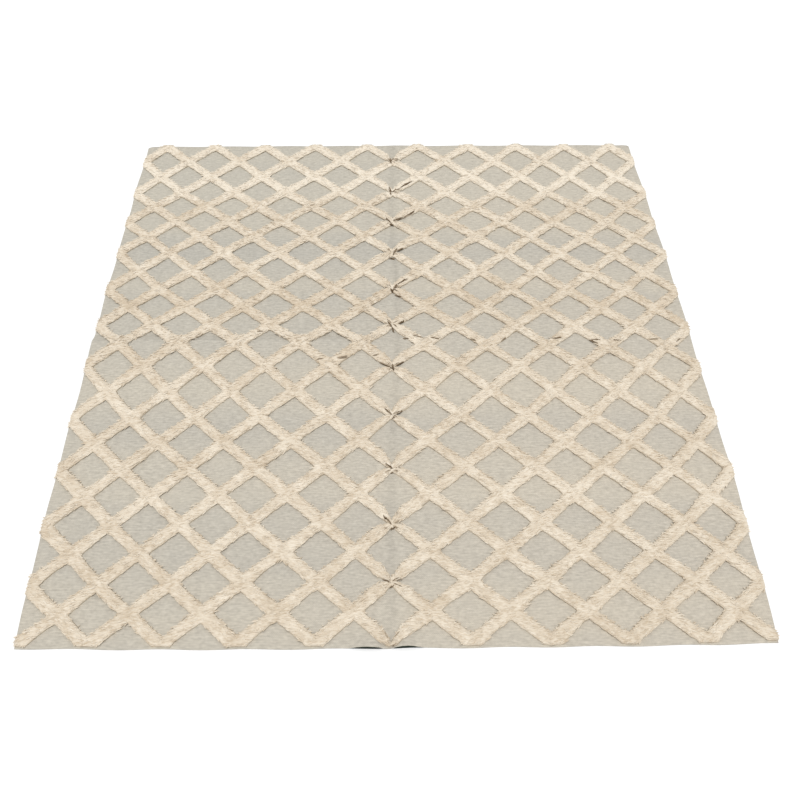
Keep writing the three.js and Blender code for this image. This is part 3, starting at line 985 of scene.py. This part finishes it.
# %% Sizes of the knots
KNOT_PITCH = 7.0 * MM
LANES = np.array([
    # place across the band, share of the height, steepness in degrees, share along the band
    (-0.94, 0.45, 0, 0.0),
    (-0.66, 0.78, 1, 0.0),
    (-0.38, 0.88, 1, 0.0),
    (-0.08, 0.90, 1, 0.0),
    (0.22, 0.90, 1, 0.0),
    (0.52, 0.86, 1, 0.0),
    (0.80, 0.76, 0, 0.3),
    (0.95, 0.46, 0, 0.8),
])
LANE_SCATTER = 0.12
LANE_LIMITS = (-1.05, 0.97)
BAND_PER_COLUMN = 222 * MM
LOCK_LENGTH = 16 * MM
LOCK_WIDTH = 3.4 * MM
LOCK_FLATNESS = 0.4
SHORTEST_LOCK = 5 * MM
SLANT = math.radians(18)
SCATTER = math.radians(8)
SWIRL = math.radians(12)
SWIRL_WAVES = {"bend": (61 * MM, 83 * MM), "turn": (29 * MM, 23 * MM)}
OVERHANG = {"near": 1.0, "folded": 0.4, "far": -1.08, "side": 3 * MM, "end": 0.5 * MM}
EDGE_ROOM = 1.5 * MM
KNOT_REACH = 30 * MM
TANGLE = 0.35
RUFFLE = {"y": -12 * MM, "reach": 26 * MM, "loose": 0.5, "rise": math.radians(14)}
TIP_LIMIT = -0.9
CROSSING_DULL = {"share": 0.2, "reach": 0.12}
SINK = 0.3 * MM
SEED = 7


def swirl(x, y):
    """Slow turns of the pile's lie, from -1 to 1."""
    (bend_x, bend_y), (turn_x, turn_y) = SWIRL_WAVES["bend"], SWIRL_WAVES["turn"]
    bend = 1.7 * np.sin(x / bend_x + 2 * np.sin(y / bend_y))
    return np.sin(x / turn_x + bend) * np.sin(y / turn_y - bend)


def ruffle(x, y):
    """1 where the fold in the left half ruffles the pile, 0 away from it."""
    return np.where(x < crease_x(y), tent(y - RUFFLE["y"], RUFFLE["reach"]), 0)


def outside(x, y):
    """How far a place lies past the rug's edges, less what may hang over them."""
    past_side = np.maximum(edge("left", y) - x, x - edge("right", y)) - OVERHANG["side"]
    past_near = edge("near", x) + BARE_END["near"] - y
    past_far = y - edge("far", x) + BARE_END["far"]
    past_end = np.maximum(past_near, past_far) - OVERHANG["end"]
    return np.maximum(past_side, past_end)


def heading(degrees):
    turn = np.radians(degrees)
    return np.stack([np.cos(turn), np.sin(turn)], -1)


def ahead(x, y, lean, length, share=1):
    """The place reached by this share of a lock's length."""
    return x + lean[:, 0] * length * share, y + lean[:, 1] * length * share


print(len(LANES), "lanes of knots,", round(KNOT_PITCH / MM, 1), "mm apart")

# %% Where a band's knots are tied
def seats(rng, rise, column, row):
    """One band's knots, and all that their locks need to know about the place."""
    middle, along_band, near, halves = trace(rise, column, row)
    steps = np.r_[0, np.cumsum(np.linalg.norm(np.diff(middle, axis=0), axis=1))]
    shape = (int(steps[-1] / KNOT_PITCH), len(LANES))
    at = ((np.arange(shape[0])[:, None] + rng.uniform(-0.5, 0.5, shape)) * KNOT_PITCH).ravel()
    side = (LANES[:, 0] + rng.uniform(-LANE_SCATTER, LANE_SCATTER, shape)).ravel()
    side = np.clip(side, *LANE_LIMITS)
    share, steep, follow = (np.broadcast_to(LANES[:, k], shape).ravel() for k in (1, 2, 3))
    centre, out, forth, half = (np.stack([np.interp(at, steps, line[:, k]) for k in (0, 1)], -1)
                                for line in (middle, near, along_band, halves))
    out, forth = unit(out), unit(forth)
    reach = np.where(side > 0, half[:, 0], half[:, 1])
    x, y = (centre + out * (side * reach)[:, None]).T
    lattice = np.interp(at, steps, column)
    to_crossing = np.abs(lattice * 2 - np.round(lattice * 2)) / 2
    keep = (x > edge("left", y)) & (x < edge("right", y)) & (outside(x, y) < -EDGE_ROOM)
    keep &= parting(x, y) < TIP_LIMIT
    if rise == -1:
        keep &= to_crossing * BAND_PER_COLUMN > half.min(1) * 0.95
    return SimpleNamespace(x=x, y=y, side=side, share=share, steep=steep, follow=follow, out=out,
                           forth=forth, half=half, reach=reach, to_crossing=to_crossing, keep=keep)


# %% How the locks lean
def leans(rng, rise, seat):
    """For each lock the way it leans, seen from above, its length and how steeply it rises."""
    x, y, forth, total = seat.x, seat.y, seat.forth, len(seat.x)
    angle = rise * SLANT + rng.normal(0, SCATTER, total) + SWIRL * swirl(x, y)
    lean = np.stack([np.cos(angle), np.sin(angle)], -1)
    band_way = forth * np.sign((forth * lean).sum(-1))[:, None]
    lean = unit(lean * (1 - seat.follow)[:, None] + band_way * seat.follow[:, None])
    lean *= np.where(rng.random(total) < 0.5, 1, -1)[:, None]
    length = LOCK_LENGTH * rng.uniform(0.7, 1.3, total)
    rising = np.radians(seat.steep + rng.uniform(-2, 2.5, total))

    ruffled = ruffle(x, y)
    loose = heading(rng.uniform(0, 360, total))
    lean = unit(lean + loose * (ruffled * RUFFLE["loose"])[:, None])
    rising += ruffled * RUFFLE["rise"] * rng.random(total)

    # the long crease draws the locks beside it along their bands, away from it
    offset = x - crease_x(y)
    knotted = np.clip(2 * tent(offset, KNOT_REACH), 0, 1)[:, None]
    away = forth * (np.sign(offset) * np.sign(forth[:, 0]))[:, None]
    return unit(lean * (1 - knotted) + (away + TANGLE * loose) * knotted), length, rising


def trimmed(rng, seat, lean, length):
    """The same locks, turned round or made shorter where their tips would reach too far."""
    x, y, side, half = seat.x, seat.y, seat.side, seat.half
    outward = (lean * seat.out).sum(-1)
    near_limit = OVERHANG["near"] + OVERHANG["folded"] * on_fold(x, y)
    turned = side + length * outward / seat.reach > near_limit
    lean[turned] *= -1
    outward[turned] *= -1
    past_far = side - OVERHANG["far"] - rng.uniform(0, 0.15, len(x))
    far_room = past_far * half[:, 1] / np.maximum(-outward, 1e-3)
    near_room = (near_limit - side) * half[:, 0] / np.maximum(outward, 1e-3)
    for room in (far_room, near_room):
        length = np.clip(np.minimum(length, room), SHORTEST_LOCK, None)
    for _ in range(5):
        past = outside(*ahead(x, y, lean, length)) > 0
        for share in (0.4, 0.7, 1.0):
            past |= parting(*ahead(x, y, lean, length, share)) > TIP_LIMIT
        length[past] *= 0.7
    return lean, length


# %% Plan the knots
def lock_rows(place, lean, rising, length, width, tone):
    """What the planting tree reads, one row for each lock."""
    return {
        "place": np.stack(place, -1),
        "lean": np.concatenate([lean * np.cos(rising)[:, None], np.sin(rising)[:, None]], -1),
        "size": np.stack([length, width, width * LOCK_FLATNESS], -1),
        "tone": tone,
    }


def plan_knots():
    rng = np.random.default_rng(SEED)
    bands = []
    for rise, column, row in PATHS:
        seat = seats(rng, rise, column, row)
        lean, length, rising = leans(rng, rise, seat)
        lean, length = trimmed(rng, seat, lean, length)
        total = len(seat.x)
        width = LOCK_WIDTH * rng.uniform(0.8, 1.25, total)
        dull = CROSSING_DULL["share"] * np.clip(1 - seat.to_crossing / CROSSING_DULL["reach"], 0, 1)
        tone = np.clip(rng.normal(0.5, 0.19, total), 0, 1) + pile_lot(seat.y) - dull
        place = seat.x, seat.y, bed_height(seat.x, seat.y, seat.share) - SINK
        rows = lock_rows(place, lean, rising, length, width, tone)
        bands.append({key: values[seat.keep] for key, values in rows.items()})
    return {key: np.concatenate([band[key] for band in bands]) for key in bands[0]}


KNOTS = plan_knots()
print(len(KNOTS["tone"]), "knots in the bands")

# %% [markdown]
# ## Dark strands
# Where the pile lies open, one sees single strands and the shade between them. So each parting
# gets a few long thin locks whose dark tone is painted shade, and at each crossing on the long
# crease a fan of strands, most of them dark with painted shade, spreads from the knot. Painted
# lines would do from one side only. These are planted by the same tree as the rest.

# %% Plan the strands
# heading of each arm in degrees, and its darkest tone of painted shade
STRAND_ARMS = [(38, -1.6), (128, -1.3), (215, -1.0), (325, -1.6)]
STRANDS_PER_ARM = 13
LINE_STARTS = np.array([-0.5, -0.34, -0.2, -0.08])
LINE_WIDTHS = MM * np.array([2.0, 4.2])
HEART_SHIFT = 4 * MM
STRAND_HEIGHT = {"share": 0.85, "more": 0.9 * MM}
TIED_REACH = 39 * MM
COVER = {"start": 0.35, "root": 0.4, "tip": 0.5}


def strands_of_partings(rng):
    """Places, headings, lengths, widths and tones of the dark strands of painted shade in the partings."""
    found = []
    for middle_x, middle_y, turn, length, width, deep in PARTINGS:
        count = len(LINE_STARTS)
        offset = rng.uniform(-0.12, 0.12, count) * width
        start = LINE_STARTS * length
        way = heading(np.full(count, turn)) * MM
        x = middle_x * MM + way[:, 0] * start - way[:, 1] * offset
        y = middle_y * MM + way[:, 1] * start + way[:, 0] * offset
        lengths = rng.uniform(0.5, 0.6, count) * length * MM
        widths = np.interp(y, (-END, END), LINE_WIDTHS) * rng.uniform(0.7, 1.3, count)
        # painted shade: a negative tone makes the strand dark brown
        tone = -deep * rng.uniform(0.9, 1.6, count)
        found.append((x, y, turn + rng.normal(0, 4, count), lengths, widths, tone))
    return found


def strands_of_hearts(rng):
    """The same for the strands of painted shade that fan out from each crossing on the long crease."""
    found = []
    for row in range(math.ceil(LAST_ROW)):
        heart_x, heart_y = lattice_point(np.array([float(MIDDLE_COLUMN)]), np.array([float(row)]))
        for arm, darkest in STRAND_ARMS:
            turns = rng.normal(arm, 10, STRANDS_PER_ARM)
            start = rng.uniform(1, 8, STRANDS_PER_ARM) * MM
            way = heading(turns)
            x = heart_x + way[:, 0] * start
            y = heart_y - HEART_SHIFT + way[:, 1] * start
            widths = rng.uniform(1.0, 1.9, STRANDS_PER_ARM) * MM
            lengths = rng.uniform(9, 21, STRANDS_PER_ARM) * MM
            # painted shade: tones from each arm's darkest up to light
            found.append((x, y, turns, lengths, widths, rng.uniform(darkest, 1.0, STRANDS_PER_ARM)))
    return found


def pile_cover(x, y):
    """1 on the bands and 0 on the ground, with a slope between, from the paths' middle lines."""
    nearest = np.full(len(x), 1.0)
    for rise, column, row in PATHS:
        middle, _, _, halves = trace(rise, column, row)
        gap = np.hypot(x[:, None] - middle[:, 0], y[:, None] - middle[:, 1]) / halves.mean(1)
        nearest = np.minimum(nearest, gap.min(1) - COVER["start"])
    return 1 - np.clip(nearest, 0, 1) ** 2


def plan_strands():
    rng = np.random.default_rng(SEED + 1)
    found = zip(*strands_of_partings(rng), *strands_of_hearts(rng))
    x, y, turns, length, width, tone = (np.concatenate(parts) for parts in found)
    rising = np.radians(rng.uniform(-2, 3, len(x)))
    tall = np.clip(pile_cover(x, y), 0, 1)
    pile = pile_top(x, y) - ground_top(x, y)
    z = ground_top(x, y) + pile * tall * STRAND_HEIGHT["share"] + STRAND_HEIGHT["more"]
    lean = heading(turns)
    # no strand reaches out over the bare ground, but for those at the long crease
    tied = np.abs(x - crease_x(y)) < TIED_REACH
    for _ in range(4):
        bare = ~tied & (pile_cover(*ahead(x, y, lean, length)) < COVER["tip"])
        length = np.where(bare, length * 0.7, length)
    keep = (outside(*ahead(x, y, lean, length)) < 0) & (tied | (tall > COVER["root"]))
    rows = lock_rows((x, y, z), lean, rising, length, width, tone)
    return {key: values[keep] for key, values in rows.items()}


STRANDS = plan_strands()
KNOTS = {key: np.concatenate([KNOTS[key], STRANDS[key]]) for key in KNOTS}
print(len(STRANDS["tone"]), "strands, and", len(KNOTS["tone"]), "locks in all")

# %% [markdown]
# ## The planting tree
# Geometry Nodes put a lock on every knot. The tree picks one of the four, turns its long axis to the
# lean, rolls it a little at random, and sizes it. A loop in Python could copy the meshes too, but
# the tree's sizes can be changed by hand in its modifier. The copies are made real at the end,
# because the model leaves Blender as plain meshes.

# %% Build the tree
def open_sockets(tree):
    """The tree's named inputs and its output. Returns the inputs as wires, by name."""
    kinds = {"Geometry": "Geometry", "Locks": "Collection", "Roll limit": "Float", "Seed": "Int",
             "Finish": "Material"}
    for name, kind in kinds.items():
        tree.interface.new_socket(name, in_out="INPUT", socket_type="NodeSocket" + kind)
    tree.interface.new_socket("Geometry", in_out="OUTPUT", socket_type="NodeSocketGeometry")
    given = tree.nodes.new("NodeGroupInput").outputs
    return {name: Wire(tree, given[name]) for name in kinds}


def planting_tree():
    tree = bpy.data.node_groups.new("plant_locks", "GeometryNodeTree")
    given = open_sockets(tree)
    wire = Wire(tree)
    lean, size = (wire.node("GeometryNodeInputNamedAttribute", {"data_type": "FLOAT_VECTOR"}, {"Name": name})
                  for name in ("lean", "size"))
    along_lean = wire.node("FunctionNodeAlignRotationToVector", {"axis": "X"}, {"Vector": lean})
    upright = wire.node("FunctionNodeAlignRotationToVector", {"axis": "Z", "pivot_axis": "X"},
                        {"Rotation": along_lean, "Vector": (0, 0, 1)})
    limit, seed = given["Roll limit"], given["Seed"]
    roll = wire.node("FunctionNodeRandomValue", {"data_type": "FLOAT"},
                     {2: 0 - limit, 3: limit, 8: seed}, output=1)
    axis = wire.node("ShaderNodeCombineXYZ", {}, {"X": roll})
    rolled = wire.node("FunctionNodeRotateRotation", {"rotation_space": "LOCAL"},
                       {"Rotation": upright, "Rotate By": axis})
    pick = wire.node("FunctionNodeRandomValue", {"data_type": "INT"},
                     {4: 0, 5: len(LOCK_BENDS) - 1, 8: seed}, output=2)
    shapes = wire.node("GeometryNodeCollectionInfo", {}, {
        "Collection": given["Locks"], "Separate Children": True, "Reset Children": True})
    planted = wire.node("GeometryNodeInstanceOnPoints", {}, {
        "Points": given["Geometry"], "Instance": shapes, "Pick Instance": True, "Instance Index": pick,
        "Rotation": rolled, "Scale": size})
    for name in ("lean", "size"):
        planted = wire.node("GeometryNodeRemoveAttribute", {}, {"Geometry": planted, "Name": name})
    real = wire.node("GeometryNodeRealizeInstances", {}, {"Geometry": planted})
    dressed = wire.node("GeometryNodeSetMaterial", {}, {"Geometry": real, "Material": given["Finish"]})
    wire.node("NodeGroupOutput", {}, {0: dressed})
    return tree


PLANTING = planting_tree()
print("planting tree has", len(PLANTING.nodes), "nodes")

# %% [markdown]
# ## Plant the pile, a strip at a time
# One mesh with every lock would be too heavy to unwrap or to print, so the rug is cut into strips
# along its length. Each strip's knots become a mesh of loose points, and the tree turns them into
# locks.

# %% Plant
STRIPS = 6
ROLL_LIMIT = 0.35


def knot_mesh(name, chosen):
    """The chosen knots as loose points that carry what the tree reads."""
    mesh = bpy.data.meshes.new(name)
    mesh.from_pydata(KNOTS["place"][chosen].tolist(), [], [])
    for key, kind, field in (("lean", "FLOAT_VECTOR", "vector"), ("size", "FLOAT_VECTOR", "vector"),
                             ("tone", "FLOAT", "value")):
        layer = mesh.attributes.new(key, kind, "POINT")
        layer.data.foreach_set(field, KNOTS[key][chosen].astype(np.float32).ravel())
    return mesh


def plant(name, chosen, seed):
    knots = bpy.data.objects.new(name + "_knots", knot_mesh(name + "_knots", chosen))
    bpy.context.scene.collection.objects.link(knots)
    modifier = knots.modifiers.new("plant", "NODES")
    modifier.node_group = PLANTING
    ids = {item.name: item.identifier for item in PLANTING.interface.items_tree if item.in_out == "INPUT"}
    modifier[ids["Locks"]] = locks
    modifier[ids["Roll limit"]] = ROLL_LIMIT
    modifier[ids["Seed"]] = seed
    modifier[ids["Finish"]] = CREAM
    shown = knots.evaluated_get(bpy.context.evaluated_depsgraph_get())
    mesh = bpy.data.meshes.new_from_object(shown)
    bpy.data.objects.remove(knots)
    mesh.name = name
    made = bpy.data.objects.new(name, mesh)
    bpy.context.scene.collection.objects.link(made)
    return made


knot_y = KNOTS["place"][:, 1]
cuts = np.quantile(knot_y, np.linspace(0, 1, STRIPS + 1))
tufts = []
for strip in range(STRIPS):
    chosen = (knot_y >= cuts[strip]) & ((knot_y < cuts[strip + 1]) | (strip == STRIPS - 1))
    tufts.append(plant(f"pile_strip_{strip + 1}", chosen, strip))
for piece in tufts:
    piece.data.calc_loop_triangles()
print([len(piece.data.loop_triangles) for piece in tufts], "triangles a strip")

# %% [markdown]
# ## What each piece stands for
# Every piece rides on the rug's one body and stands for its one solid.

# %% Tell the frame
for piece in [ground, bed, *tufts]:
    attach(piece, "root")
    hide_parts("rug")

# %% [markdown]
# ## Floor, light and camera
# The photograph is even and bright, on white. A white sky and one broad lamp give the light. The
# lamp is overhead, a little towards the camera, and lights the near walls of the bands, so that
# only their feet stay dark. The camera looks down at about 47 degrees, as the outline's corners
# in the photograph show.

# %% Stage
FLOOR_SIZE = 40
FLOOR_TONE = 0.9
SKY_STRENGTH = 0.55
LAMP_STRENGTH = 2.2
LAMP_TILT = math.radians(15)
LAMP_SPREAD = math.radians(34)


def make_floor():
    side = FLOOR_SIZE / 2
    corners = [(-side, -side, 0), (side, -side, 0), (side, side, 0), (-side, side, 0)]
    mesh = bpy.data.meshes.new("floor")
    mesh.from_pydata(corners, [], [(0, 1, 2, 3)])
    made, shader, _ = new_material("pale_floor")
    shader.inputs["Base Color"].default_value = (FLOOR_TONE, FLOOR_TONE, FLOOR_TONE, 1)
    shader.inputs["Roughness"].default_value = 0.95
    return new_object("floor", mesh, made)


floor = make_floor()

world = bpy.data.worlds.new("sky")
bpy.context.scene.world = world
world.use_nodes = True
sky = world.node_tree.nodes["Background"].inputs
sky["Color"].default_value = (1, 1, 1, 1)
sky["Strength"].default_value = SKY_STRENGTH

lamp = bpy.data.lights.new("lamp", "SUN")
lamp.energy = LAMP_STRENGTH
lamp.angle = LAMP_SPREAD
lamp_object = bpy.data.objects.new("lamp", lamp)
lamp_object.rotation_euler = (LAMP_TILT, 0, 0)
bpy.context.scene.collection.objects.link(lamp_object)
bpy.context.scene.view_settings.view_transform = "Standard"

# %% Camera
CAMERA_PLACE = (-0.0343, -1.9660, 1.9009)
CAMERA_TURN = (42.533, -0.549, -0.956)
LENS = 45.27
SENSOR = 36

camera = bpy.data.cameras.new("camera")
camera.lens = LENS
camera.sensor_width = SENSOR
camera_object = bpy.data.objects.new("camera", camera)
camera_object.location = CAMERA_PLACE
camera_object.rotation_euler = [math.radians(angle) for angle in CAMERA_TURN]
bpy.context.scene.collection.objects.link(camera_object)
bpy.context.scene.camera = camera_object
